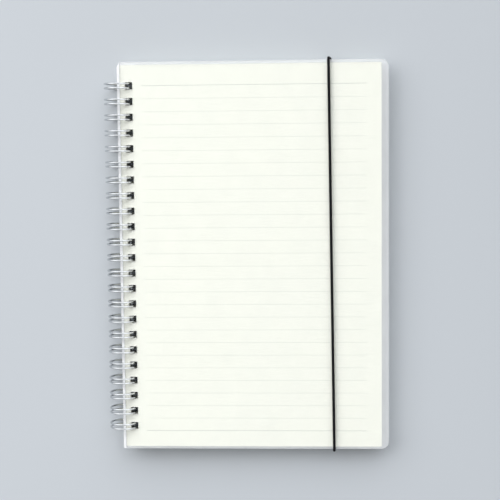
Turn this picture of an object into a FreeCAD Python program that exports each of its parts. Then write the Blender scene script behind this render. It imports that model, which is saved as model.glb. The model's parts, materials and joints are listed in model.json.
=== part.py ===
import FreeCAD, Part
import math
import os

# Twin-loop wire notebook, lying closed on its back cover with its elastic band on.
# Millimetres and degrees. X runs from the spine to the fore edge, Y along the spine
# towards the head of the pages, Z up from the table. The origin is under the middle
# of the whole notebook.
# Everything is first laid out round the axis of the wire loops, and moved from there.

# Wire binding: pitch of three holes to the inch
hole_pitch = 25.4 / 3
least_end_margin = 12.5
loop_outer_diameter = 15.5
wire_diameter = 1.0
strand_spacing = 2.35
facets_per_turn = 16
seam_turn_radius = 1.5
wire_facets_per_bend = 2
wire_sides = 6

# Sheets, measured from the axis of the loops
cover_left = 0.05
cover_width = 146.0
cover_height = 211.6
cover_thickness = 0.6
fore_corner_radius = 4.3
spine_corner_cut_x = 1.5
spine_corner_cut_y = 2.6
spine_corner_radius = 0.8
page_inset_spine = 1.4
page_inset_fore = 3.9
page_inset_head = 1.6
page_inset_foot = 1.1
page_block_thickness = 7.5
page_corner_radius = 0.5
hole_height = 4.0
back_cover_drop = 5.0

# Elastic band: a round cord over the front cover, fixed in two holes of the back cover
cord_diameter = 1.5
cord_sides = 12
cord_facets_per_bend = 3
cord_head_x = 113.9
cord_foot_x = 116.2
cord_anchor_x = 115.9
cord_anchor_inset = 9.0
cord_bend_radius = 1.0

# Clearances
hole_inner_gap = 0.25
hole_outer_gap = 0.5
cord_edge_gap = 0.15
cord_front_gap = 0.2
cord_back_gap = 0.1
cord_hole_gap = 0.1
cord_end_gap = 0.1

# Worked out from the sizes above
loop_count = int((cover_height - 2 * least_end_margin) / hole_pitch) + 1
loop_radius = (loop_outer_diameter - wire_diameter) / 2
loop_outer_radius = loop_outer_diameter / 2
facet_angle = 360.0 / facets_per_turn
base_angle = -90.0
tip_angle = base_angle + facet_angle
cover_right = cover_left + cover_width
back_bottom = -back_cover_drop
page_bottom = back_bottom + cover_thickness
page_top = page_bottom + page_block_thickness
front_top = page_top + cover_thickness
furthest_sheet = max(-back_bottom, front_top)
wire_inner_x = math.sqrt((loop_outer_radius - wire_diameter) ** 2 - furthest_sheet ** 2)
hole_left = wire_inner_x - hole_inner_gap
hole_right = loop_outer_radius + hole_outer_gap
cord_radius = cord_diameter / 2
cord_under = back_bottom - cord_back_gap - cord_radius
cord_over = front_top + cord_front_gap + cord_radius
cord_lowest = cord_under - cord_radius


def rest_tilt():
    """Angle that brings the cord under the back cover down to the level of the loops."""
    reach = math.hypot(cord_anchor_x, cord_lowest)
    slope = math.atan2(-cord_lowest, cord_anchor_x)
    return math.degrees(math.asin(loop_outer_radius / reach) - slope)


def loop_centres():
    """Places along the spine of the loops, from the head to the foot."""
    first = hole_pitch * (loop_count - 1) / 2
    return [first - hole_pitch * i for i in range(loop_count)]


def polygon_wire(points):
    """Closed outline through the given points."""
    return Part.makePolygon(list(points) + [points[0]])


def hole_wire(y_middle, z):
    """Outline of one rectangular binding hole, clear of the wire inside and outside the loop."""
    low = y_middle - hole_height / 2
    high = y_middle + hole_height / 2
    return polygon_wire([
        FreeCAD.Vector(hole_left, low, z),
        FreeCAD.Vector(hole_right, low, z),
        FreeCAD.Vector(hole_right, high, z),
        FreeCAD.Vector(hole_left, high, z),
    ])


def corner_arc(centre_x, centre_y, z, radius, start):
    """Quarter circle of a rounded corner, from the start angle on."""
    centre = FreeCAD.Vector(centre_x, centre_y, z)
    return Part.makeCircle(radius, centre, FreeCAD.Vector(0, 0, 1), start, start + 90)


def joined_outline(edges):
    """Closed outline of the given corner edges, with straight edges between them."""
    outline = []
    for edge, following in zip(edges, edges[1:] + edges[:1]):
        outline.append(edge)
        outline.append(Part.makeLine(edge.lastVertex(True).Point, following.firstVertex(True).Point))
    return Part.Wire(outline)


def cover_outline(z):
    """Cover outline: round fore-edge corners, a cut head corner and a small round at the foot."""
    half = cover_height / 2
    inner_x = cover_right - fore_corner_radius
    inner_y = half - fore_corner_radius
    foot_x = cover_left + spine_corner_radius
    foot_y = -half + spine_corner_radius
    cut = Part.makeLine(
        FreeCAD.Vector(cover_left + spine_corner_cut_x, half, z),
        FreeCAD.Vector(cover_left, half - spine_corner_cut_y, z),
    )
    return joined_outline([
        corner_arc(inner_x, -inner_y, z, fore_corner_radius, 270),
        corner_arc(inner_x, inner_y, z, fore_corner_radius, 0),
        cut,
        corner_arc(foot_x, foot_y, z, spine_corner_radius, 180),
    ])


def page_outline(z):
    """Outline of the pages, set in from the cover all round."""
    left = cover_left + page_inset_spine + page_corner_radius
    right = cover_right - page_inset_fore - page_corner_radius
    head = cover_height / 2 - page_inset_head - page_corner_radius
    foot = -cover_height / 2 + page_inset_foot + page_corner_radius
    return joined_outline([
        corner_arc(right, foot, z, page_corner_radius, 270),
        corner_arc(right, head, z, page_corner_radius, 0),
        corner_arc(left, head, z, page_corner_radius, 90),
        corner_arc(left, foot, z, page_corner_radius, 180),
    ])


def punched_sheet(outline, z, thickness, extra_holes=()):
    """Flat sheet with a row of binding holes, and any other holes given."""
    holes = [hole_wire(y, z) for y in loop_centres()]
    face = Part.Face([outline] + holes + list(extra_holes))
    return face.extrude(FreeCAD.Vector(0, 0, thickness))


def front_cover():
    return punched_sheet(cover_outline(page_top), page_top, cover_thickness)


def page_block():
    return punched_sheet(page_outline(page_bottom), page_bottom, page_block_thickness)


def back_cover():
    """The same sheet as the front cover, with a round hole for each end of the cord."""
    holes = []
    for y in (cord_anchor_y(), -cord_anchor_y()):
        centre = FreeCAD.Vector(cord_anchor_x, y, back_bottom)
        circle = Part.makeCircle(cord_radius + cord_hole_gap, centre, FreeCAD.Vector(0, 0, 1))
        holes.append(Part.Wire(circle))
    return punched_sheet(cover_outline(back_bottom), back_bottom, cover_thickness, holes)


def cord_anchor_y():
    return cover_height / 2 - cord_anchor_inset


def bend_corners(start, forward, sideways, radius, turn, facets):
    """Corner points of a bend that starts along forward and turns towards sideways."""
    step = math.radians(turn / facets)
    corner_radius = radius / math.cos(step / 2)
    centre = start + sideways * radius
    corners = []
    for i in range(facets):
        angle = step * (i + 0.5)
        offset = forward * math.sin(angle) - sideways * math.cos(angle)
        corners.append(centre + offset * corner_radius)
    return corners


def mitred_bar(route, outward, sides, across_flats):
    """Flat-sided bar along the corner points of a route, mitred at each corner, ends closed."""
    runs = [(b - a).normalize() for a, b in zip(route, route[1:])]
    sideways = runs[0].cross(outward)
    corner_radius = across_flats / 2 / math.cos(math.pi / sides)
    section = []
    for i in range(sides):
        angle = 2 * math.pi * (i + 0.5) / sides
        offset = outward * math.cos(angle) + sideways * math.sin(angle)
        section.append(route[0] + offset * corner_radius)
    faces = [Part.Face(polygon_wire(section))]
    for corner, run, following in zip(route[1:], runs, runs[1:] + runs[-1:]):
        normal = run + following
        far = [p + run * ((corner - p).dot(normal) / run.dot(normal)) for p in section]
        for i in range(sides):
            j = (i + 1) % sides
            faces.append(Part.Face(polygon_wire([section[i], section[j], far[j], far[i]])))
        section = far
    faces.append(Part.Face(polygon_wire(section)))
    shell = Part.makeShell(faces)
    shell.sewShape()
    solid = Part.makeSolid(Part.Shell(shell.Faces))
    if solid.Volume < 0:
        solid.reverse()
    return solid


def cord_route(points):
    """Corner points of a cord that runs straight between the points and bends round each."""
    route = [points[0]]
    for before, corner, after in zip(points, points[1:], points[2:]):
        arriving = (corner - before).normalize()
        leaving = (after - corner).normalize()
        turn = arriving.getAngle(leaving)
        start = corner - arriving * (cord_bend_radius * math.tan(turn / 2))
        sideways = (leaving - arriving * leaving.dot(arriving)).normalize()
        degrees = math.degrees(turn)
        route += bend_corners(start, arriving, sideways, cord_bend_radius, degrees, cord_facets_per_bend)
    route.append(points[-1])
    return route


def elastic_band():
    """Round cord: down through the back cover, round the head, over the front and back."""
    edge_y = cover_height / 2 + cord_edge_gap + cord_radius
    anchor_y = cord_anchor_y()
    end_z = page_bottom - cord_end_gap
    rise = cord_over - cord_under
    slant = rise / (rise + edge_y - anchor_y)
    head_low_x = cord_head_x + (cord_anchor_x - cord_head_x) * slant
    foot_low_x = cord_foot_x + (cord_anchor_x - cord_foot_x) * slant
    route = cord_route([
        FreeCAD.Vector(cord_anchor_x, anchor_y, end_z),
        FreeCAD.Vector(cord_anchor_x, anchor_y, cord_under),
        FreeCAD.Vector(head_low_x, edge_y, cord_under),
        FreeCAD.Vector(cord_head_x, edge_y, cord_over),
        FreeCAD.Vector(cord_foot_x, -edge_y, cord_over),
        FreeCAD.Vector(foot_low_x, -edge_y, cord_under),
        FreeCAD.Vector(cord_anchor_x, -anchor_y, cord_under),
        FreeCAD.Vector(cord_anchor_x, -anchor_y, end_z),
    ])
    return mitred_bar(route, FreeCAD.Vector(0, -1, 0), cord_sides, cord_diameter)


def around_axis(angle, radius):
    """Point at an angle round the axis of the loops, in the plane of one loop."""
    turn = math.radians(angle)
    return FreeCAD.Vector(radius * math.cos(turn), 0, radius * math.sin(turn))


def along_loop(angle):
    """Direction of travel round a loop, towards greater angles."""
    return around_axis(angle + 90, 1)


def strand_corners(y):
    """Corner points of one strand, from the seam's base the long way round to its tip."""
    corner_radius = loop_radius / math.cos(math.radians(facet_angle / 2))
    corners = []
    for i in range(facets_per_turn - 1):
        angle = base_angle - facet_angle * (i + 0.5)
        corners.append(around_axis(angle, corner_radius) + FreeCAD.Vector(0, y, 0))
    return corners


def tip_corners(y):
    """Corner points of the round tip that joins the two strands of one loop."""
    start = around_axis(tip_angle, loop_radius) + FreeCAD.Vector(0, y + strand_spacing / 2, 0)
    forward = along_loop(tip_angle) * -1
    footward = FreeCAD.Vector(0, -1, 0)
    return bend_corners(start, forward, footward, strand_spacing / 2, 180, 2 * wire_facets_per_bend)


def base_corners(y, sideways):
    """Corner points where a strand at the seam turns sideways, towards the next loop."""
    start = around_axis(base_angle, loop_radius) + FreeCAD.Vector(0, y, 0)
    forward = along_loop(base_angle)
    return bend_corners(start, forward, sideways, seam_turn_radius, 90, wire_facets_per_bend)


def wire_route():
    """Corner points of the whole wire: out along one strand, round a tip, back, and on."""
    headward = FreeCAD.Vector(0, 1, 0)
    footward = FreeCAD.Vector(0, -1, 0)
    base = around_axis(base_angle, loop_radius)
    centres = loop_centres()
    half = strand_spacing / 2
    route = [base + headward * (centres[0] + half)]
    for y in centres:
        route += strand_corners(y + half)
        route += tip_corners(y)
        route += reversed(strand_corners(y - half))
        if y != centres[-1]:
            route += base_corners(y - half, footward)
            route += reversed(base_corners(y - hole_pitch + half, headward))
    route.append(base + headward * (centres[-1] - half))
    return route


def wire_binding():
    """One unbroken wire of flat-sided section, closed at its two cut ends."""
    return mitred_bar(wire_route(), FreeCAD.Vector(0, 0, -1), wire_sides, wire_diameter)


def place_upright(shape, tilt):
    """Set a piece over the origin, with the loops standing square on the table."""
    lean = math.radians(tilt)
    fore_reach = cover_right * math.cos(lean) + front_top * math.sin(lean)
    placed = shape.copy()
    placed.translate(FreeCAD.Vector((loop_outer_radius - fore_reach) / 2, 0, loop_outer_radius))
    return placed


def place_tilted(shape, tilt):
    """Tilt a piece about the axis of the loops, then set it over the origin."""
    tilted = shape.copy()
    tilted.rotate(FreeCAD.Vector(0, 0, 0), FreeCAD.Vector(0, 1, 0), tilt)
    return place_upright(tilted, tilt)


def main():
    tilt = rest_tilt()
    pieces = {
        "front_cover": place_tilted(front_cover(), tilt),
        "page_block": place_tilted(page_block(), tilt),
        "back_cover": place_tilted(back_cover(), tilt),
        "elastic_band": place_tilted(elastic_band(), tilt),
        "wire_binding": place_upright(wire_binding(), tilt),
    }
    os.makedirs("parts", exist_ok=True)
    for name, shape in pieces.items():
        shape.exportStep("parts/" + name + ".step")


main()
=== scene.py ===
import json
import math

import bpy
from mathutils import Matrix, Vector


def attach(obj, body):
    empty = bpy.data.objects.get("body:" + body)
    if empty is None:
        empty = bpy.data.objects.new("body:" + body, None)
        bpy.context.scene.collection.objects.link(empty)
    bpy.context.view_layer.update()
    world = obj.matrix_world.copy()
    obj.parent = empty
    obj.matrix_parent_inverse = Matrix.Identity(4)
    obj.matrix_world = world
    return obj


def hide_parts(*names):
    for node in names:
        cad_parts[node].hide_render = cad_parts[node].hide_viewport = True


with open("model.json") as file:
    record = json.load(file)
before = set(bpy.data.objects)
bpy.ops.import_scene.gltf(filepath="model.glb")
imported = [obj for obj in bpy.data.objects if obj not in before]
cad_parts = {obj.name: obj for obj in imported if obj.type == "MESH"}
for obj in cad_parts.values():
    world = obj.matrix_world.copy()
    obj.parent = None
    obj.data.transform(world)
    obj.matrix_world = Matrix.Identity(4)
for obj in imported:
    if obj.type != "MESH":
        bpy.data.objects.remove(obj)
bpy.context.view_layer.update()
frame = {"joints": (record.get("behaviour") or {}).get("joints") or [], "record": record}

bl_info = {
    "name": "Twin-loop notebook",
    "version": (1, 0, 0),
    "blender": (4, 5, 0),
    "location": "3D View > Sidebar > Notebook",
    "description": "Frosted covers, ruled pages, wire loops and elastic band of a closed notebook",
    "category": "Add Mesh",
}

# Lengths below are in metres. The sheets are drawn flat round the axis of the loops,
# then turned by the notebook's lean and set on the hinge that the record gives.
MM = 0.001
HINGE = Vector(frame["joints"][0]["pos_m"])
LEAN = -math.asin(frame["record"]["mounts"][0]["axis"][2])
SET_DOWN = Matrix.Translation(HINGE) @ Matrix.Rotation(LEAN, 4, "Y")

# Settles how far each leaf lies out of line
LEAF_SEED = 7


# Settings

def length(name, default, description):
    """A length in metres, shown in the scene's own units."""
    return bpy.props.FloatProperty(
        name=name, default=default, description=description, min=0, unit="LENGTH", precision=5)


def place(name, default, description):
    """A coordinate in metres."""
    return bpy.props.FloatProperty(
        name=name, default=default, description=description, unit="LENGTH", precision=5)


def share(name, default, description):
    """A plain number from 0 to 1."""
    return bpy.props.FloatProperty(
        name=name, default=default, description=description, min=0, max=1, subtype="FACTOR")


def tint(name, default, description):
    """A linear colour."""
    return bpy.props.FloatVectorProperty(
        name=name, default=default, description=description, size=3, min=0, max=1, subtype="COLOR")


class SheetSettings(bpy.types.PropertyGroup):
    """Sizes of the covers, the leaves and their holes, measured from the axis of the loops"""
    cover_left: place("Cover Left", 0.05 * MM, "Binding edge of the covers")
    cover_width: length("Cover Width", 146 * MM, "Binding edge to fore edge")
    cover_height: length("Cover Height", 211.6 * MM, "Head to foot of the covers")
    cover_thickness: length("Cover Thickness", 0.6 * MM, "Thickness of the plastic sheet")
    fore_corner: length("Fore Corner Radius", 4.3 * MM, "Round corners at the fore edge")
    spine_cut_x: length("Head Corner Cut X", 1.5 * MM, "Cut corner at the head of the spine, along X")
    spine_cut_y: length("Head Corner Cut Y", 2.6 * MM, "Cut corner at the head of the spine, along Y")
    foot_corner: length("Foot Corner Radius", 0.8 * MM, "Small round corner at the foot of the spine")
    back_z: place("Back Cover Underside", -5.0 * MM, "Underside of the back cover")
    page_thickness: length("Page Thickness", 7.5 * MM, "All the leaves together")
    inset_spine: length("Page Inset Spine", 1.4 * MM, "Leaf edge behind the cover's binding edge")
    inset_fore: length("Page Inset Fore", 3.9 * MM, "Leaf edge behind the cover's fore edge")
    inset_head: length("Page Inset Head", 1.6 * MM, "Leaf edge behind the cover's head")
    inset_foot: length("Page Inset Foot", 1.1 * MM, "Leaf edge behind the cover's foot")
    page_corner: length("Page Corner Radius", 0.5 * MM, "Corners of the leaves")
    leaf_count: bpy.props.IntProperty(
        name="Leaves", default=80, min=1, max=120, description="Number of leaves in the block")
    leaf_drift: length("Leaf Drift", 0.07 * MM, "How far a leaf may lie out of line")
    hole_height: length("Hole Height", 4.0 * MM, "Punched hole along Y")
    hole_inner_gap: length("Hole Inner Gap", 0.25 * MM, "Air between the hole and the wire inside the loops")
    hole_outer_gap: length("Hole Outer Gap", 0.5 * MM, "Air between the hole and the wire outside the loops")
    sheet_gap: length("Sheet Gap", 0.03 * MM, "Air between a cover and the leaf next to it")
    edge_round: length("Edge Round", 0.1 * MM, "Soft edge of the die-cut plastic")


class WireSettings(bpy.types.PropertyGroup):
    """Sizes of the twin-loop wire"""
    loop_count: bpy.props.IntProperty(
        name="Loops", default=23, min=2, description="Number of double loops")
    pitch: length("Pitch", 25.4 * MM / 3, "Loop to loop along the spine")
    diameter: length("Loop Diameter", 15.5 * MM, "Outside diameter of the loops")
    wire: length("Wire Diameter", 1.0 * MM, "Thickness of the wire")
    spacing: length("Strand Spacing", 2.35 * MM, "Middle to middle of the two strands of a loop")
    seam_bend: length("Seam Bend Radius", 1.5 * MM, "Bend between two loops at the seam")
    seam_angle: bpy.props.FloatProperty(
        name="Seam Angle", default=math.radians(-90), subtype="ANGLE",
        description="Where the loops close, round their axis from the fore side")
    seam_gap: bpy.props.FloatProperty(
        name="Seam Gap", default=math.radians(22.5), subtype="ANGLE",
        description="From the seam to the tips of the loops")
    sides: bpy.props.IntProperty(
        name="Wire Sides", default=14, min=6, max=48, description="Facets round the wire")


class ElasticSettings(bpy.types.PropertyGroup):
    """Sizes of the elastic band"""
    diameter: length("Cord Diameter", 1.5 * MM, "Thickness of the cord")
    head_x: place("Head X", 113.9 * MM, "Where the cord turns round the head edge")
    foot_x: place("Foot X", 116.2 * MM, "Where the cord turns round the foot edge")
    anchor_x: place("Anchor X", 115.9 * MM, "Holes of the cord in the back cover")
    anchor_inset: length("Anchor Inset", 9.0 * MM, "Holes of the cord from the head and foot edges")
    edge_gap: length("Edge Gap", 0.15 * MM, "Air between the cord and the covers' edges")
    front_gap: length("Front Gap", 0.2 * MM, "Air between the cord and the front cover")
    back_gap: length("Back Gap", 0.1 * MM, "Air between the cord and the back cover")
    hole_gap: length("Hole Gap", 0.1 * MM, "Air round the cord in its holes")
    end_gap: length("End Gap", 0.1 * MM, "Air between the cord's ends and the pages")
    bend: length("Bend Radius", 1.0 * MM, "Bends of the cord's middle line")
    plait: length("Plait Length", 2.2 * MM, "Length of one crossing of the braided cover")


class FinishSettings(bpy.types.PropertyGroup):
    """Colours of the finishes, linear"""
    plastic: tint("Frosted Plastic", (0.97, 0.98, 1.0), "The covers")
    plastic_cover: share("Plastic Cover", 0.21, "How much a face of a cover hides the leaves that it lies on")
    margin_cover: share("Margin Cover", 0.36, "How much it hides beyond the leaves")
    # Near-opaque spine strip: partly milkiness off the leaves, partly painted light from beyond the spine.
    spine_cover: share("Spine Cover", 0.98, "How much it hides along the binding edge")
    paper: tint("Paper", (0.967, 0.968, 0.86), "The leaves")
    rule: tint("Rule", (0.12, 0.14, 0.15), "Lines on the leaves")
    silver: tint("Wire", (0.65, 0.665, 0.68), "The wire")
    cord: tint("Cord", (0.005, 0.005, 0.006), "The elastic band")
    table: tint("Table", (0.563, 0.592, 0.63), "The surface that the notebook lies on")


class StageSettings(bpy.types.PropertyGroup):
    """Lights and camera"""
    focal_pixels: bpy.props.FloatProperty(
        name="Focal Length", default=1257, min=1, description="In pixels of a picture 500 pixels wide")
    camera_at: bpy.props.FloatVectorProperty(
        name="Camera Place", default=(0.0437, 0.0654, 0.6886), subtype="TRANSLATION",
        unit="LENGTH", description="Camera over the notebook")
    camera_turn: bpy.props.FloatVectorProperty(
        name="Camera Turn", default=(math.radians(-5.209), math.radians(3.481), math.radians(-0.578)),
        subtype="EULER", description="Camera's turn about X, Y and Z")
    side_power: bpy.props.FloatProperty(
        name="Side Power", default=9.4, min=0, unit="POWER",
        description="Soft lamp beyond the spine of the notebook")
    window_light: bpy.props.FloatProperty(
        name="Window Light", default=3.38, min=0,
        description="Wide soft light from beyond the head of the notebook")
    wall_light: bpy.props.FloatProperty(
        name="Wall Light", default=0.91, min=0, description="Lower, weaker light from beyond its foot")
    card_light: bpy.props.FloatProperty(
        name="Card Light", default=1.3, min=0,
        description="White cards beyond the fore edge and the spine, for reflections alone")
    reflected_limit: bpy.props.FloatProperty(
        name="Reflected Limit", default=1.9, min=0,
        description="Brightest that the room looks in a reflection")
    backdrop: bpy.props.FloatProperty(
        name="Backdrop", default=0.75, min=0, description="Brightness of the room behind the table")


class NotebookSettings(bpy.types.PropertyGroup):
    """All settings of the notebook"""
    sheets: bpy.props.PointerProperty(type=SheetSettings)
    wire: bpy.props.PointerProperty(type=WireSettings)
    elastic: bpy.props.PointerProperty(type=ElasticSettings)
    finish: bpy.props.PointerProperty(type=FinishSettings)
    stage: bpy.props.PointerProperty(type=StageSettings)


# Node trees

def socket_of(node, key):
    """The open input of a node with this name or number."""
    if isinstance(key, int):
        return node.inputs[key]
    for socket in node.inputs:
        if socket.name == key and socket.enabled:
            return socket
    raise KeyError(f"{node.bl_idname} has no input {key}")


def add(tree, kind, inputs=None, **options):
    """Add a node, set its options, and give its inputs values or other nodes' outputs."""
    node = tree.nodes.new(kind)
    for name, value in options.items():
        setattr(node, name, value)
    for key, value in (inputs or {}).items():
        socket = socket_of(node, key)
        if isinstance(value, bpy.types.NodeSocket):
            tree.links.new(value, socket)
        else:
            socket.default_value = value
    return node


def out(node, key=0):
    """An open output of a node, by name or number."""
    if isinstance(key, int):
        return [socket for socket in node.outputs if socket.enabled][key]
    return next(socket for socket in node.outputs if socket.name == key and socket.enabled)


def calc(tree, operation, first, second=None, third=None):
    """One step of arithmetic on sockets or numbers."""
    values = {0: first}
    if second is not None:
        values[1] = second
    if third is not None:
        values[2] = third
    return out(add(tree, "ShaderNodeMath", values, operation=operation))


def lay_out(tree):
    """Place the nodes in columns from left to right, each after those that feed it."""
    column = {}
    for _ in range(len(tree.nodes)):
        for node in tree.nodes:
            feeding = [link.from_node for link in tree.links if link.to_node == node]
            column[node] = max([column.get(before, 0) + 1 for before in feeding], default=0)
    rows = {}
    column_width, row_height = 220, 260
    for node in tree.nodes:
        row = rows.get(column[node], 0)
        node.location = (column_width * column[node], -row_height * row)
        rows[column[node]] = row + 1


def new_geometry_tree(name, inputs):
    """A geometry tree with the named inputs, and its input and output nodes."""
    tree = bpy.data.node_groups.new(name, "GeometryNodeTree")
    tree.interface.new_socket(name="Geometry", in_out="INPUT", socket_type="NodeSocketGeometry")
    for title, kind in inputs.items():
        tree.interface.new_socket(name=title, in_out="INPUT", socket_type="NodeSocket" + kind)
    tree.interface.new_socket(name="Geometry", in_out="OUTPUT", socket_type="NodeSocketGeometry")
    return tree, add(tree, "NodeGroupInput")


def finish_tree(tree, geometry, material):
    """End a tree in Realize Instances and Set Material."""
    real = add(tree, "GeometryNodeRealizeInstances", {"Geometry": geometry})
    painted = add(tree, "GeometryNodeSetMaterial", {"Geometry": out(real), "Material": material})
    add(tree, "NodeGroupOutput", {"Geometry": out(painted)})
    lay_out(tree)
    return tree


def punched_sheet_tree():
    """Flat sheet from its outline curves, punched with a row of binding holes."""
    tree, given = new_geometry_tree("Punched sheet", {
        "Thickness": "Float",
        "Hole Count": "Int",
        "Pitch": "Float",
        "Hole Width": "Float",
        "Hole Height": "Float",
        "Hole Centre": "Float",
        "Material": "Material",
    })
    hole = add(tree, "GeometryNodeCurvePrimitiveQuadrilateral", {
        "Width": out(given, "Hole Width"), "Height": out(given, "Hole Height")})
    gaps = calc(tree, "SUBTRACT", out(given, "Hole Count"), 1.0)
    first = calc(tree, "MULTIPLY", calc(tree, "MULTIPLY", gaps, 0.5), out(given, "Pitch"))
    back = calc(tree, "MULTIPLY", out(given, "Pitch"), -1.0)
    start = add(tree, "ShaderNodeCombineXYZ", {"X": out(given, "Hole Centre"), "Y": first})
    step = add(tree, "ShaderNodeCombineXYZ", {"Y": back})
    row = add(tree, "GeometryNodeMeshLine", {
        "Count": out(given, "Hole Count"), "Start Location": out(start), "Offset": out(step)},
        mode="OFFSET")
    punched = add(tree, "GeometryNodeInstanceOnPoints", {"Points": out(row), "Instance": out(hole)})
    real = add(tree, "GeometryNodeRealizeInstances", {"Geometry": out(punched)})
    lines = add(tree, "GeometryNodeJoinGeometry", {"Geometry": out(real)})
    tree.links.new(out(given, "Geometry"), lines.inputs[0])
    face = add(tree, "GeometryNodeFillCurve", {"Curve": out(lines)}, mode="NGONS")
    up = add(tree, "ShaderNodeCombineXYZ", {"Z": 1.0})
    wall = add(tree, "GeometryNodeExtrudeMesh", {
        "Mesh": out(face), "Offset": out(up), "Offset Scale": out(given, "Thickness"),
        "Individual": False}, mode="FACES")
    under = add(tree, "GeometryNodeFlipFaces", {"Mesh": out(face)})
    closed = add(tree, "GeometryNodeJoinGeometry", {"Geometry": out(wall)})
    tree.links.new(out(under), closed.inputs[0])
    weld = 0.001 * MM
    welded = add(tree, "GeometryNodeMergeByDistance", {"Geometry": out(closed), "Distance": weld})
    return finish_tree(tree, out(welded), out(given, "Material"))


def leaf_stack_tree(sheet_tree):
    """Stack of punched leaves, each a little out of line with the next."""
    tree, given = new_geometry_tree("Leaf stack", {
        "Leaf Count": "Int",
        "Leaf Spacing": "Float",
        "Leaf Drift": "Float",
        "Thickness": "Float",
        "Hole Count": "Int",
        "Pitch": "Float",
        "Hole Width": "Float",
        "Hole Height": "Float",
        "Hole Centre": "Float",
        "Material": "Material",
    })
    leaf = tree.nodes.new("GeometryNodeGroup")
    leaf.node_tree = sheet_tree
    for title in ("Geometry", "Thickness", "Hole Count", "Pitch",
                  "Hole Width", "Hole Height", "Hole Centre", "Material"):
        tree.links.new(out(given, title), leaf.inputs[title])
    rise = add(tree, "ShaderNodeCombineXYZ", {"Z": out(given, "Leaf Spacing")})
    pile = add(tree, "GeometryNodeMeshLine", {
        "Count": out(given, "Leaf Count"), "Offset": out(rise)}, mode="OFFSET")
    most = out(given, "Leaf Drift")
    least = calc(tree, "MULTIPLY", most, -1.0)
    low = add(tree, "ShaderNodeCombineXYZ", {"X": least, "Y": least})
    high = add(tree, "ShaderNodeCombineXYZ", {"X": most, "Y": most})
    drift = add(tree, "FunctionNodeRandomValue", {
        "Min": out(low), "Max": out(high), "Seed": LEAF_SEED}, data_type="FLOAT_VECTOR")
    moved = add(tree, "GeometryNodeSetPosition", {"Geometry": out(pile), "Offset": out(drift)})
    leaves = add(tree, "GeometryNodeInstanceOnPoints", {"Points": out(moved), "Instance": out(leaf)})
    return finish_tree(tree, out(leaves), out(given, "Material"))


def wire_tree():
    """Round wire along a path, with closed ends."""
    tree, given = new_geometry_tree("Wire along path", {
        "Wire Radius": "Float",
        "Sides": "Int",
        "Material": "Material",
    })
    section = add(tree, "GeometryNodeCurvePrimitiveCircle", {
        "Resolution": out(given, "Sides"), "Radius": out(given, "Wire Radius")})
    tube = add(tree, "GeometryNodeCurveToMesh", {
        "Curve": out(given, "Geometry"), "Profile Curve": out(section), "Fill Caps": True})
    smooth = add(tree, "GeometryNodeSetShadeSmooth", {"Geometry": out(tube), "Shade Smooth": True})
    return finish_tree(tree, out(smooth), out(given, "Material"))


def cord_tree():
    """Round cord along corner points, bent round each, with its braid's place kept as an attribute."""
    tree, given = new_geometry_tree("Cord round corners", {
        "Cord Radius": "Float",
        "Bend Radius": "Float",
        "Step": "Float",
        "Sides": "Int",
        "Material": "Material",
    })
    bend_steps = 8
    bent = add(tree, "GeometryNodeFilletCurve", {
        "Curve": out(given, "Geometry"), "Count": bend_steps, "Radius": out(given, "Bend Radius"),
        "Limit Radius": True}, mode="POLY")
    even = add(tree, "GeometryNodeResampleCurve", {
        "Curve": out(bent), "Length": out(given, "Step")}, mode="LENGTH")
    along = add(tree, "GeometryNodeSplineParameter")
    kept = add(tree, "GeometryNodeStoreNamedAttribute", {
        "Geometry": out(even), "Name": "along", "Value": out(along, "Length")},
        data_type="FLOAT", domain="POINT")
    section = add(tree, "GeometryNodeCurvePrimitiveCircle", {
        "Resolution": out(given, "Sides"), "Radius": out(given, "Cord Radius")})
    spot = add(tree, "GeometryNodeInputPosition")
    turn = add(tree, "GeometryNodeStoreNamedAttribute", {
        "Geometry": out(section), "Name": "around", "Value": out(spot)},
        data_type="FLOAT_VECTOR", domain="POINT")
    tube = add(tree, "GeometryNodeCurveToMesh", {
        "Curve": out(kept), "Profile Curve": out(turn), "Fill Caps": True})
    smooth = add(tree, "GeometryNodeSetShadeSmooth", {"Geometry": out(tube), "Shade Smooth": True})
    return finish_tree(tree, out(smooth), out(given, "Material"))


# Curves and meshes

def poly_curve(name, lines, closed):
    """Curve object with one straight-sided spline through each list of points."""
    data = bpy.data.curves.new(name, "CURVE")
    data.dimensions = "3D"
    for points in lines:
        spline = data.splines.new("POLY")
        spline.points.add(len(points) - 1)
        for target, point in zip(spline.points, points):
            target.co = (*point, 1)
        spline.use_cyclic_u = closed
    made = bpy.data.objects.new(name, data)
    bpy.context.scene.collection.objects.link(made)
    return made


def give_nodes(obj, tree, values):
    """Add a geometry tree to an object and set its named inputs, each by its identifier."""
    modifier = obj.modifiers.new(tree.name, "NODES")
    modifier.node_group = tree
    for item in tree.interface.items_tree:
        if item.in_out == "INPUT" and item.name in values:
            modifier[item.identifier] = values[item.name]


def as_mesh(source, name, placing):
    """Plain mesh object from a source's evaluated shape, with its place in its mesh."""
    graph = bpy.context.evaluated_depsgraph_get()
    mesh = bpy.data.meshes.new_from_object(source.evaluated_get(graph), depsgraph=graph)
    bpy.data.objects.remove(source)
    mesh.name = name
    mesh.transform(placing)
    mesh.validate()
    made = bpy.data.objects.new(name, mesh)
    bpy.context.scene.collection.objects.link(made)
    return made


def settle(piece, body, node):
    """Make a piece ride on its body and stand for its CAD node."""
    if not len(piece.data.polygons):
        raise RuntimeError(f"{piece.name} came out empty")
    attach(piece, body)
    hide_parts(node)


def quarter(centre, radius, start, steps=10):
    """Points of a quarter circle from the start angle on, in degrees."""
    points = []
    for i in range(steps + 1):
        angle = math.radians(start + 90 * i / steps)
        points.append((centre[0] + radius * math.cos(angle), centre[1] + radius * math.sin(angle), 0))
    return points


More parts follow.
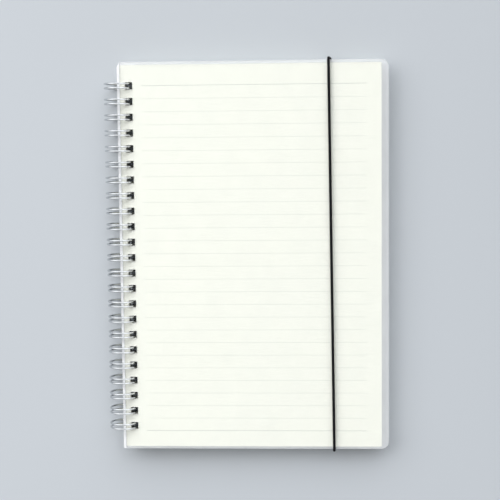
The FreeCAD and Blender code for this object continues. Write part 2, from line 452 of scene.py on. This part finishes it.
def cover_outline(sheets):
    """Outline of a cover: round fore corners, a cut head corner and a small round at the foot."""
    half = sheets.cover_height / 2
    right = sheets.cover_left + sheets.cover_width
    inner_x = right - sheets.fore_corner
    inner_y = half - sheets.fore_corner
    points = quarter((inner_x, -inner_y), sheets.fore_corner, 270)
    points += quarter((inner_x, inner_y), sheets.fore_corner, 0)
    points.append((sheets.cover_left + sheets.spine_cut_x, half, 0))
    points.append((sheets.cover_left, half - sheets.spine_cut_y, 0))
    foot = (sheets.cover_left + sheets.foot_corner, sheets.foot_corner - half)
    points += quarter(foot, sheets.foot_corner, 180, steps=4)
    return points


def leaf_outline(sheets):
    """Outline of a leaf, set in from the covers."""
    corner = sheets.page_corner
    left = sheets.cover_left + sheets.inset_spine + corner
    right = sheets.cover_left + sheets.cover_width - sheets.inset_fore - corner
    head = sheets.cover_height / 2 - sheets.inset_head - corner
    foot = sheets.inset_foot + corner - sheets.cover_height / 2
    points = quarter((right, foot), corner, 270, steps=4)
    points += quarter((right, head), corner, 0, steps=4)
    points += quarter((left, head), corner, 90, steps=4)
    points += quarter((left, foot), corner, 180, steps=4)
    return points


def round_hole(x, y, radius, steps=32):
    """Points of a full circle."""
    points = []
    for i in range(steps):
        angle = 2 * math.pi * i / steps
        points.append((x + radius * math.cos(angle), y + radius * math.sin(angle), 0))
    return points


def hole_values(settings):
    """Inputs that the covers and the leaves share."""
    sheets = settings.sheets
    wire = settings.wire
    inner_x = math.sqrt((wire.diameter / 2 - wire.wire) ** 2 - sheets.back_z ** 2)
    left = inner_x - sheets.hole_inner_gap
    right = wire.diameter / 2 + sheets.hole_outer_gap
    return {
        "Hole Count": wire.loop_count,
        "Pitch": wire.pitch,
        "Hole Width": right - left,
        "Hole Height": sheets.hole_height,
        "Hole Centre": (left + right) / 2,
    }


def round_edges(obj, width):
    """Soft edge all round a die-cut sheet."""
    modifier = obj.modifiers.new("Soft edge", "BEVEL")
    modifier.width = width
    modifier.segments = 2
    modifier.limit_method = "ANGLE"
    modifier.angle_limit = math.radians(60)


def tree_named(name, make):
    """A geometry tree that is made once and used again."""
    return bpy.data.node_groups.get(name) or make()


def plastic_cover(settings, name, lines, bottom):
    """One cover as a plain mesh, from its outline and hole lines and the height of its underside."""
    sheets = settings.sheets
    source = poly_curve(name + "_lines", lines, closed=True)
    values = hole_values(settings)
    values["Thickness"] = sheets.cover_thickness - sheets.sheet_gap
    values["Material"] = frosted_plastic(settings)
    give_nodes(source, tree_named("Punched sheet", punched_sheet_tree), values)
    round_edges(source, sheets.edge_round)
    return as_mesh(source, name, SET_DOWN @ Matrix.Translation((0, 0, bottom)))


def page_bottom(sheets):
    """Underside of the leaves."""
    return sheets.back_z + sheets.cover_thickness


def page_top(sheets):
    """Upper side of the leaves."""
    return page_bottom(sheets) + sheets.page_thickness


# Wire path

def on_loop(radius, angle, y):
    """Point on a loop at an angle round its axis."""
    return Vector((radius * math.cos(angle), y, radius * math.sin(angle)))


def strand(wire, radius, y, steps=44):
    """Points of one strand, from the seam the long way round to the tip."""
    sweep = 2 * math.pi - wire.seam_gap
    return [on_loop(radius, wire.seam_angle - sweep * i / steps, y) for i in range(steps + 1)]


def bend(start, forward, sideways, radius, turn, steps):
    """Points of a bend after its start, turning from forward towards sideways."""
    centre = start + sideways * radius
    points = []
    for i in range(1, steps + 1):
        angle = turn * i / steps
        points.append(centre + (forward * math.sin(angle) - sideways * math.cos(angle)) * radius)
    return points


def wire_path(wire):
    """The whole wire's middle line: out along one strand, round a tip, back, and on."""
    radius = (wire.diameter - wire.wire) / 2
    half = wire.spacing / 2
    head = Vector((0, 1, 0))
    tip_angle = wire.seam_angle + wire.seam_gap
    to_tip = Vector((math.sin(tip_angle), 0, -math.cos(tip_angle)))
    past_seam = Vector((-math.sin(wire.seam_angle), 0, math.cos(wire.seam_angle)))
    points = []
    for i in range(wire.loop_count):
        y = wire.pitch * ((wire.loop_count - 1) / 2 - i)
        points += strand(wire, radius, y + half)
        points += bend(points[-1], to_tip, -head, half, math.pi, steps=10)[:-1]
        points += reversed(strand(wire, radius, y - half))
        if i < wire.loop_count - 1:
            points += bend(points[-1], past_seam, -head, wire.seam_bend, math.pi / 2, steps=6)
            following = on_loop(radius, wire.seam_angle, y - wire.pitch + half)
            points += reversed(bend(following, past_seam, head, wire.seam_bend, math.pi / 2, steps=6))
    return points


# Elastic band path

def cord_corners(settings):
    """Corner points of the cord: in the back cover, round the head, over the front and back again."""
    sheets = settings.sheets
    band = settings.elastic
    radius = band.diameter / 2
    edge_y = sheets.cover_height / 2 + band.edge_gap + radius
    anchor_y = sheets.cover_height / 2 - band.anchor_inset
    under = sheets.back_z - band.back_gap - radius
    over = page_top(sheets) + sheets.cover_thickness + band.front_gap + radius
    end_z = page_bottom(sheets) - band.end_gap
    slant = (over - under) / (over - under + edge_y - anchor_y)
    head_low = band.head_x + (band.anchor_x - band.head_x) * slant
    foot_low = band.foot_x + (band.anchor_x - band.foot_x) * slant
    return [
        (band.anchor_x, anchor_y, end_z),
        (band.anchor_x, anchor_y, under),
        (head_low, edge_y, under),
        (band.head_x, edge_y, over),
        (band.foot_x, -edge_y, over),
        (foot_low, -edge_y, under),
        (band.anchor_x, -anchor_y, under),
        (band.anchor_x, -anchor_y, end_z),
    ]


# Finishes

def new_material(name):
    """An empty material and its node tree."""
    material = bpy.data.materials.new(name)
    material.use_nodes = True
    tree = material.node_tree
    tree.nodes.clear()
    return material, tree


def rgba(colour, level=1.0):
    """A colour with an alpha of one, made lighter or darker."""
    return (*[channel * level for channel in colour], 1.0)


def blend_colours(tree, factor, first, second):
    """Mix of two colours or colour sockets by a factor."""
    return out(add(tree, "ShaderNodeMix", {
        "Factor": factor, "A": first, "B": second}, data_type="RGBA"))


def ramp(tree, value, low, high, to_low=0.0, to_high=1.0):
    """Value brought from one range to another, held at its ends."""
    return out(add(tree, "ShaderNodeMapRange", {
        "Value": value, "From Min": low, "From Max": high, "To Min": to_low, "To Max": to_high}))


def noise(tree, vector, scale, detail=2.0, roughness=0.5):
    """Soft noise, near 0.5 on average."""
    return out(add(tree, "ShaderNodeTexNoise", {
        "Vector": vector, "Scale": scale, "Detail": detail, "Roughness": roughness}), "Fac")


def bump(tree, height, strength, depth):
    """Normal of a fine relief, with its depth in metres."""
    return out(add(tree, "ShaderNodeBump", {
        "Height": height, "Strength": strength, "Distance": depth}))


def past_leaves(tree, spot, sheets):
    """Ones where a point lies beyond the leaves: past their binding edge, and past any edge."""
    apart = add(tree, "ShaderNodeSeparateXYZ", {"Vector": spot})
    x, y = out(apart, "X"), out(apart, "Y")
    soft = 0.05 * MM
    left = HINGE.x + sheets.cover_left + sheets.inset_spine
    right = HINGE.x + sheets.cover_left + sheets.cover_width - sheets.inset_fore
    head = sheets.cover_height / 2 - sheets.inset_head
    foot = sheets.inset_foot - sheets.cover_height / 2
    past_left = ramp(tree, x, left + soft, left - soft)
    past_right = ramp(tree, x, right - soft, right + soft)
    past_head = ramp(tree, y, head - soft, head + soft)
    past_foot = ramp(tree, y, foot + soft, foot - soft)
    past_sides = calc(tree, "MAXIMUM", past_left, past_right)
    past_ends = calc(tree, "MAXIMUM", past_head, past_foot)
    return past_left, calc(tree, "MAXIMUM", past_sides, past_ends)


def frosted_plastic(settings):
    """Milky sheet with a fine matt grain: clear on the leaves, less so beyond them, and near-opaque white at
    the spine, which is partly painted light for the strong light from beyond the spine.
    """
    if "Frosted plastic" in bpy.data.materials:
        return bpy.data.materials["Frosted plastic"]
    look = settings.finish
    material, tree = new_material("Frosted plastic")
    spot = add(tree, "ShaderNodeTexCoord")
    grain = noise(tree, out(spot, "Object"), scale=2600, detail=3, roughness=0.6)
    cloud = noise(tree, out(spot, "Object"), scale=38, detail=3)
    upright = out(add(tree, "ShaderNodeSeparateXYZ", {"Vector": out(spot, "Normal")}), "Z")
    cut_edge = ramp(tree, calc(tree, "ABSOLUTE", upright), 0.85, 0.6)
    colour = blend_colours(tree, cloud, rgba(look.plastic, 0.985), rgba(look.plastic, 1.005))
    rough = ramp(tree, grain, 0.3, 0.7, to_low=0.42, to_high=0.58)
    relief = bump(tree, grain, strength=0.25, depth=0.03 * MM)
    matt = add(tree, "ShaderNodeBsdfPrincipled", {
        "Base Color": colour, "Roughness": rough, "IOR": 1.49, "Normal": relief,
        "Specular IOR Level": 0.35})
    past_left, past_any = past_leaves(tree, out(spot, "Object"), settings.sheets)
    # At the spine the sheet hides almost all and lets little light through: partly milkiness off the leaves,
    # partly painted light for the bright light from beyond the spine.
    glow_share, spine_glow_share = 0.3, 0.03
    edge_cover = 0.9
    glow = add(tree, "ShaderNodeBsdfTranslucent", {"Color": colour, "Normal": relief})
    clear = add(tree, "ShaderNodeBsdfTransparent")
    body = add(tree, "ShaderNodeMixShader", {
        0: ramp(tree, past_left, 0.0, 1.0, glow_share, spine_glow_share), 1: out(matt), 2: out(glow)})
    level = ramp(tree, past_any, 0.0, 1.0, look.plastic_cover, look.margin_cover)
    level = calc(tree, "MAXIMUM", level, calc(tree, "MULTIPLY", past_left, look.spine_cover))
    veil = calc(tree, "MULTIPLY", level, ramp(tree, cloud, 0.3, 0.7, to_low=0.93, to_high=1.07))
    cover = calc(tree, "MAXIMUM", veil, calc(tree, "MULTIPLY", cut_edge, edge_cover))
    mixed = add(tree, "ShaderNodeMixShader", {0: cover, 1: out(clear), 2: out(body)})
    add(tree, "ShaderNodeOutputMaterial", {"Surface": out(mixed)})
    lay_out(tree)
    return material


def rule_ink(tree, x, y):
    """How much ink a point of a leaf's face has: thin rules, the first and the last a little stronger."""
    rule_pitch = 7 * MM
    rule_count = 28
    first_rule = 93.05 * MM
    half_line = 0.11 * MM
    left_end = HINGE.x + 12.9 * MM
    right_end = HINGE.x + 134.2 * MM
    inner_ink, outer_ink = 0.3, 0.6
    number = calc(tree, "DIVIDE", calc(tree, "SUBTRACT", first_rule, y), rule_pitch)
    nearest = calc(tree, "ROUND", number)
    astray = calc(tree, "ABSOLUTE", calc(tree, "SUBTRACT", number, nearest))
    off_line = calc(tree, "MULTIPLY", astray, rule_pitch)
    on_line = ramp(tree, off_line, half_line * 1.2, half_line * 0.8)
    after_first = calc(tree, "GREATER_THAN", nearest, -0.5)
    before_last = calc(tree, "LESS_THAN", nearest, rule_count - 0.5)
    after_left = calc(tree, "GREATER_THAN", x, left_end)
    before_right = calc(tree, "LESS_THAN", x, right_end)
    in_rows = calc(tree, "MULTIPLY", after_first, before_last)
    in_field = calc(tree, "MULTIPLY", after_left, before_right)
    ink = calc(tree, "MULTIPLY", calc(tree, "MULTIPLY", on_line, in_rows), in_field)
    from_middle = calc(tree, "ABSOLUTE", calc(tree, "SUBTRACT", nearest, (rule_count - 1) / 2))
    outermost = calc(tree, "GREATER_THAN", from_middle, rule_count / 2 - 1)
    return calc(tree, "MULTIPLY", ink, ramp(tree, outermost, 0.0, 1.0, inner_ink, outer_ink))


def edge_shade(tree, spot, x, y, wire):
    """Painted shade on the cut edges of the leaves: fine dark streaks for the shade between the leaves, and
    near-black in the punched holes, where shade falls deep in the stack.
    """
    # Painted shade: the cut edges within the row of punched holes are taken almost to black, for the shade
    # deep in the holes.
    row_middle = HINGE.x + 6.3 * MM
    row_end = wire.loop_count * wire.pitch / 2
    shade_near, shade_far = 2.6 * MM, 3.2 * MM
    from_row = calc(tree, "ABSOLUTE", calc(tree, "SUBTRACT", x, row_middle))
    past_ends = calc(tree, "GREATER_THAN", calc(tree, "ABSOLUTE", y), row_end)
    beside_row = ramp(tree, from_row, shade_far, shade_near)
    hole_shade = calc(tree, "MULTIPLY", beside_row, calc(tree, "SUBTRACT", 1.0, past_ends))
    # Painted shade: fine dark streaks on the cut edges stand for the shade in the gaps between the leaves.
    scale_along, scale_up = 40, 3800
    stack_up = (math.sin(LEAN), 0.0, math.cos(LEAN))
    height = out(add(tree, "ShaderNodeVectorMath", {0: spot, 1: stack_up}, operation="DOT_PRODUCT"), "Value")
    on_edge = add(tree, "ShaderNodeCombineXYZ", {
        "X": calc(tree, "MULTIPLY", x, scale_along),
        "Y": calc(tree, "MULTIPLY", y, scale_along),
        "Z": calc(tree, "MULTIPLY", height, scale_up)})
    streaks = noise(tree, out(on_edge), scale=1.0, roughness=0.6)
    layers = ramp(tree, streaks, 0.4, 0.7, to_low=0.12, to_high=0.4)
    return calc(tree, "MAXIMUM", hole_shade, layers)


def ruled_paper(settings):
    """Cream writing paper with fine fibres, thin rules on its faces and painted shade on its cut edges."""
    look = settings.finish
    material, tree = new_material("Ruled paper")
    coords = add(tree, "ShaderNodeTexCoord")
    spot = out(coords, "Object")
    apart = add(tree, "ShaderNodeSeparateXYZ", {"Vector": spot})
    x, y = out(apart, "X"), out(apart, "Y")
    upright = out(add(tree, "ShaderNodeSeparateXYZ", {"Vector": out(coords, "Normal")}), "Z")
    face = ramp(tree, calc(tree, "ABSOLUTE", upright), 0.7, 0.9)
    edge = calc(tree, "SUBTRACT", 1.0, face)
    fibre = noise(tree, spot, scale=900, detail=4, roughness=0.65)
    sheet = blend_colours(tree, fibre, rgba(look.paper, 0.985), rgba(look.paper, 1.01))
    shade = calc(tree, "MULTIPLY", edge_shade(tree, spot, x, y, settings.wire), edge)
    # Painted shade: the cut edges are blended towards near-black paper by the edge shade.
    shaded = blend_colours(tree, shade, sheet, rgba(look.paper, 0.02))
    ink = calc(tree, "MULTIPLY", rule_ink(tree, x, y), face)
    colour = blend_colours(tree, ink, shaded, rgba(look.rule))
    relief = bump(tree, fibre, strength=0.15, depth=0.04 * MM)
    surface = add(tree, "ShaderNodeBsdfPrincipled", {
        "Base Color": colour, "Roughness": 0.92, "Specular IOR Level": 0.1, "Normal": relief})
    add(tree, "ShaderNodeOutputMaterial", {"Surface": out(surface)})
    lay_out(tree)
    return material


def silver_wire(settings):
    """Bright drawn wire with faint marks along it."""
    look = settings.finish
    material, tree = new_material("Silver wire")
    spot = add(tree, "ShaderNodeTexCoord")
    marks = noise(tree, out(spot, "Object"), scale=1400, detail=3, roughness=0.6)
    patches = noise(tree, out(spot, "Object"), scale=160)
    colour = blend_colours(tree, patches, rgba(look.silver, 0.93), rgba(look.silver, 1.05))
    rough = ramp(tree, marks, 0.3, 0.7, to_low=0.16, to_high=0.24)
    relief = bump(tree, marks, strength=0.12, depth=0.02 * MM)
    surface = add(tree, "ShaderNodeBsdfPrincipled", {
        "Base Color": colour, "Metallic": 1.0, "Roughness": rough, "Normal": relief})
    add(tree, "ShaderNodeOutputMaterial", {"Surface": out(surface)})
    lay_out(tree)
    return material


def braided_cord(settings):
    """Black braided cover: threads that cross round the cord, with painted sheen on their crests and painted
    shade between them, over a random lint tone.
    """
    look = settings.finish
    material, tree = new_material("Braided cord")
    around = add(tree, "ShaderNodeAttribute", attribute_name="around")
    along = add(tree, "ShaderNodeAttribute", attribute_name="along")
    ring = add(tree, "ShaderNodeSeparateXYZ", {"Vector": out(around, "Vector")})
    angle = calc(tree, "ARCTAN2", out(ring, "Y"), out(ring, "X"))
    carriers = 6
    thread_share = 0.75
    turn = calc(tree, "MULTIPLY", angle, carriers)
    travel = calc(tree, "MULTIPLY", out(along, "Fac"), 2 * math.pi / settings.elastic.plait)
    right_hand = calc(tree, "ABSOLUTE", calc(tree, "SINE", calc(tree, "ADD", turn, travel)))
    left_hand = calc(tree, "ABSOLUTE", calc(tree, "SINE", calc(tree, "SUBTRACT", turn, travel)))
    thread = calc(tree, "MULTIPLY", right_hand, left_hand)
    lint = noise(tree, out(add(tree, "ShaderNodeTexCoord"), "Object"), scale=3000, detail=3, roughness=0.6)
    shade = calc(tree, "MULTIPLY_ADD", thread, thread_share, calc(tree, "MULTIPLY", lint, 1 - thread_share))
    # Painted sheen and shade: the braid's crests are made lighter and its grooves darker, mixed with random
    # lint tone.
    colour = blend_colours(tree, shade, rgba(look.cord, 0.5), rgba(look.cord, 1.9))
    relief = bump(tree, shade, strength=0.9, depth=0.08 * MM)
    surface = add(tree, "ShaderNodeBsdfPrincipled", {
        "Base Color": colour, "Roughness": 0.7, "Specular IOR Level": 0.1, "Normal": relief})
    add(tree, "ShaderNodeOutputMaterial", {"Surface": out(surface)})
    lay_out(tree)
    return material


def table_paint(settings):
    """Pale blue-grey card with the faintest unevenness."""
    look = settings.finish
    material, tree = new_material("Table card")
    spot = add(tree, "ShaderNodeTexCoord")
    cloud = noise(tree, out(spot, "Object"), scale=3)
    tooth = noise(tree, out(spot, "Object"), scale=700)
    colour = blend_colours(tree, cloud, rgba(look.table, 0.985), rgba(look.table, 1.015))
    surface = add(tree, "ShaderNodeBsdfPrincipled", {
        "Base Color": colour, "Roughness": 0.95, "Specular IOR Level": 0.0,
        "Normal": bump(tree, tooth, strength=0.05, depth=0.05 * MM)})
    add(tree, "ShaderNodeOutputMaterial", {"Surface": out(surface)})
    lay_out(tree)
    return material


# Operators

class NOTEBOOK_OT_front_cover(bpy.types.Operator):
    """Frosted front cover"""
    bl_idname = "notebook.front_cover"
    bl_label = "Front Cover"
    bl_options = {"REGISTER", "UNDO"}

    def execute(self, context):
        settings = context.scene.notebook
        sheets = settings.sheets
        bottom = page_top(sheets) + sheets.sheet_gap
        cover = plastic_cover(settings, "front_cover_sheet", [cover_outline(sheets)], bottom)
        settle(cover, "front", "front_cover")
        return {"FINISHED"}


class NOTEBOOK_OT_back_cover(bpy.types.Operator):
    """Frosted back cover, with two small round holes for the cord"""
    bl_idname = "notebook.back_cover"
    bl_label = "Back Cover"
    bl_options = {"REGISTER", "UNDO"}

    def execute(self, context):
        settings = context.scene.notebook
        sheets = settings.sheets
        band = settings.elastic
        anchor_y = sheets.cover_height / 2 - band.anchor_inset
        radius = band.diameter / 2 + band.hole_gap
        lines = [cover_outline(sheets)]
        lines += [round_hole(band.anchor_x, y, radius) for y in (anchor_y, -anchor_y)]
        cover = plastic_cover(settings, "back_cover_sheet", lines, sheets.back_z)
        settle(cover, "back", "back_cover")
        return {"FINISHED"}


class NOTEBOOK_OT_pages(bpy.types.Operator):
    """Stack of ruled leaves"""
    bl_idname = "notebook.pages"
    bl_label = "Pages"
    bl_options = {"REGISTER", "UNDO"}

    def execute(self, context):
        settings = context.scene.notebook
        sheets = settings.sheets
        source = poly_curve("leaf_lines", [leaf_outline(sheets)], closed=True)
        spacing = sheets.page_thickness / sheets.leaf_count
        leaf_share = 0.9
        sheet_tree = tree_named("Punched sheet", punched_sheet_tree)
        values = hole_values(settings)
        values["Leaf Count"] = sheets.leaf_count
        values["Leaf Spacing"] = spacing
        values["Leaf Drift"] = sheets.leaf_drift
        values["Thickness"] = spacing * leaf_share
        values["Material"] = ruled_paper(settings)
        give_nodes(source, tree_named("Leaf stack", lambda: leaf_stack_tree(sheet_tree)), values)
        lowest = page_bottom(sheets) + spacing * (1 - leaf_share) / 2
        stack = as_mesh(source, "page_stack", SET_DOWN @ Matrix.Translation((0, 0, lowest)))
        settle(stack, "pages", "page_block")
        return {"FINISHED"}


class NOTEBOOK_OT_wire(bpy.types.Operator):
    """Twin-loop wire binding"""
    bl_idname = "notebook.wire"
    bl_label = "Wire Binding"
    bl_options = {"REGISTER", "UNDO"}

    def execute(self, context):
        settings = context.scene.notebook
        wire = settings.wire
        source = poly_curve("wire_line", [wire_path(wire)], closed=False)
        give_nodes(source, tree_named("Wire along path", wire_tree), {
            "Wire Radius": wire.wire / 2,
            "Sides": wire.sides,
            "Material": silver_wire(settings),
        })
        loops = as_mesh(source, "wire_loops", Matrix.Translation(HINGE))
        settle(loops, "back", "wire_binding")
        return {"FINISHED"}


class NOTEBOOK_OT_elastic(bpy.types.Operator):
    """Braided elastic band round both covers"""
    bl_idname = "notebook.elastic"
    bl_label = "Elastic Band"
    bl_options = {"REGISTER", "UNDO"}

    def execute(self, context):
        settings = context.scene.notebook
        band = settings.elastic
        source = poly_curve("cord_line", [cord_corners(settings)], closed=False)
        give_nodes(source, tree_named("Cord round corners", cord_tree), {
            "Cord Radius": band.diameter / 2,
            "Bend Radius": band.bend,
            "Step": 0.35 * MM,
            "Sides": 20,
            "Material": braided_cord(settings),
        })
        cord = as_mesh(source, "elastic_cord", SET_DOWN)
        settle(cord, "back", "elastic_band")
        return {"FINISHED"}


class NOTEBOOK_OT_stage(bpy.types.Operator):
    """Table, lights and camera"""
    bl_idname = "notebook.stage"
    bl_label = "Stage"
    bl_options = {"REGISTER", "UNDO"}

    def execute(self, context):
        settings = context.scene.notebook
        beyond_spine = Vector((-1.0, 0.35, 0.95))
        self.lay_table(settings)
        self.light_room(context.scene, settings.stage)
        self.hang_lamp("Side", beyond_spine, settings.stage.side_power)
        self.set_camera(context.scene, settings.stage)
        context.scene.view_settings.view_transform = "Standard"
        return {"FINISHED"}

    def lay_table(self, settings):
        """A flat table top, wide enough for low views."""
        reach = 8.0
        mesh = bpy.data.meshes.new("table_top")
        corners = [(-reach, -reach, 0), (reach, -reach, 0), (reach, reach, 0), (-reach, reach, 0)]
        mesh.from_pydata(corners, [], [(0, 1, 2, 3)])
        mesh.materials.append(table_paint(settings))
        table = bpy.data.objects.new("table_top", mesh)
        bpy.context.scene.collection.objects.link(table)

    def light_room(self, scene, stage):
        """Soft light from beyond the head, a little from beyond the foot, and cards for the reflections."""
        world = bpy.data.worlds.new("Room")
        world.use_nodes = True
        tree = world.node_tree
        tree.nodes.clear()
        heading = out(add(tree, "ShaderNodeTexCoord"), "Generated")
        path = add(tree, "ShaderNodeLightPath")
        glossy = out(path, "Is Glossy Ray")
        rise = out(add(tree, "ShaderNodeSeparateXYZ", {"Vector": heading}), "Z")
        overhead = ramp(tree, rise, 0.8, 0.94, to_low=1.0, to_high=0.2)
        window = self.soft_side(tree, heading, bearing=95, rise=35, level=stage.window_light)
        window = calc(tree, "MULTIPLY", window, overhead)
        wall = self.soft_side(tree, heading, bearing=280, rise=20, level=stage.wall_light)
        fore_card = self.soft_side(tree, heading, bearing=0, rise=35, level=stage.card_light)
        spine_card = self.soft_side(tree, heading, bearing=180, rise=30, level=stage.card_light)
        cards = calc(tree, "ADD", fore_card, spine_card)
        level = calc(tree, "MULTIPLY_ADD", glossy, cards, calc(tree, "ADD", window, wall))
        over = calc(tree, "MAXIMUM", calc(tree, "SUBTRACT", level, stage.reflected_limit), 0.0)
        level = calc(tree, "SUBTRACT", level, calc(tree, "MULTIPLY", glossy, over))
        backdrop = calc(tree, "MULTIPLY", out(path, "Is Camera Ray"), stage.backdrop)
        level = calc(tree, "MAXIMUM", level, backdrop)
        air = add(tree, "ShaderNodeBackground", {"Color": (0.97, 0.99, 1.0, 1.0), "Strength": level})
        add(tree, "ShaderNodeOutputWorld", {"Surface": out(air)})
        lay_out(tree)
        scene.world = world

    def soft_side(self, tree, heading, bearing, rise, level):
        """Light that falls off evenly away from one bearing and rise, in degrees."""
        fall_off = 3.0
        bearing, rise = math.radians(bearing), math.radians(rise)
        middle = (math.cos(rise) * math.cos(bearing), math.cos(rise) * math.sin(bearing), math.sin(rise))
        along = add(tree, "ShaderNodeVectorMath", {0: heading, 1: middle}, operation="DOT_PRODUCT")
        facing = calc(tree, "MAXIMUM", out(along, "Value"), 0.0)
        return calc(tree, "MULTIPLY", calc(tree, "POWER", facing, fall_off), level)

    def hang_lamp(self, name, spot, power):
        """A soft square lamp that faces the notebook. The cards stand for it in reflections."""
        light = bpy.data.lights.new(name, "AREA")
        light.shape = "SQUARE"
        light.size = 1.2
        light.energy = power
        light.color = (1.0, 0.99, 0.975)
        lamp = bpy.data.objects.new(name, light)
        facing = (-spot).to_track_quat("-Z", "Y").to_matrix().to_4x4()
        lamp.matrix_world = Matrix.Translation(spot) @ facing
        lamp.visible_glossy = False
        bpy.context.scene.collection.objects.link(lamp)

    def set_camera(self, scene, stage):
        """The photograph's camera."""
        picture_width = 500
        data = bpy.data.cameras.new("Camera")
        data.sensor_width = 36
        data.lens = stage.focal_pixels / picture_width * data.sensor_width
        data.clip_start = 0.01
        camera = bpy.data.objects.new("Camera", data)
        camera.location = stage.camera_at
        camera.rotation_euler = stage.camera_turn
        scene.collection.objects.link(camera)
        scene.camera = camera


class NOTEBOOK_PT_panel(bpy.types.Panel):
    """Pieces of the notebook, and their sizes and finishes"""
    bl_label = "Twin-loop Notebook"
    bl_idname = "NOTEBOOK_PT_panel"
    bl_space_type = "VIEW_3D"
    bl_region_type = "UI"
    bl_category = "Notebook"

    def draw(self, context):
        settings = context.scene.notebook
        for title, group, makers in (
            ("Sheets", settings.sheets, (NOTEBOOK_OT_front_cover, NOTEBOOK_OT_back_cover, NOTEBOOK_OT_pages)),
            ("Wire", settings.wire, (NOTEBOOK_OT_wire,)),
            ("Elastic", settings.elastic, (NOTEBOOK_OT_elastic,)),
            ("Finishes", settings.finish, ()),
            ("Stage", settings.stage, (NOTEBOOK_OT_stage,)),
        ):
            box = self.layout.box()
            box.label(text=title)
            for key in group.__annotations__:
                box.prop(group, key)
            for maker in makers:
                box.operator(maker.bl_idname)


CLASSES = (
    SheetSettings,
    WireSettings,
    ElasticSettings,
    FinishSettings,
    StageSettings,
    NotebookSettings,
    NOTEBOOK_OT_stage,
    NOTEBOOK_OT_front_cover,
    NOTEBOOK_OT_back_cover,
    NOTEBOOK_OT_pages,
    NOTEBOOK_OT_wire,
    NOTEBOOK_OT_elastic,
    NOTEBOOK_PT_panel,
)


def register():
    for cls in CLASSES:
        bpy.utils.register_class(cls)
    bpy.types.Scene.notebook = bpy.props.PointerProperty(type=NotebookSettings)


def unregister():
    del bpy.types.Scene.notebook
    for cls in reversed(CLASSES):
        bpy.utils.unregister_class(cls)


def main():
    register()
    bpy.ops.notebook.stage()
    bpy.ops.notebook.front_cover()
    bpy.ops.notebook.back_cover()
    bpy.ops.notebook.pages()
    bpy.ops.notebook.wire()
    bpy.ops.notebook.elastic()


if __name__ == "__main__":
    main()
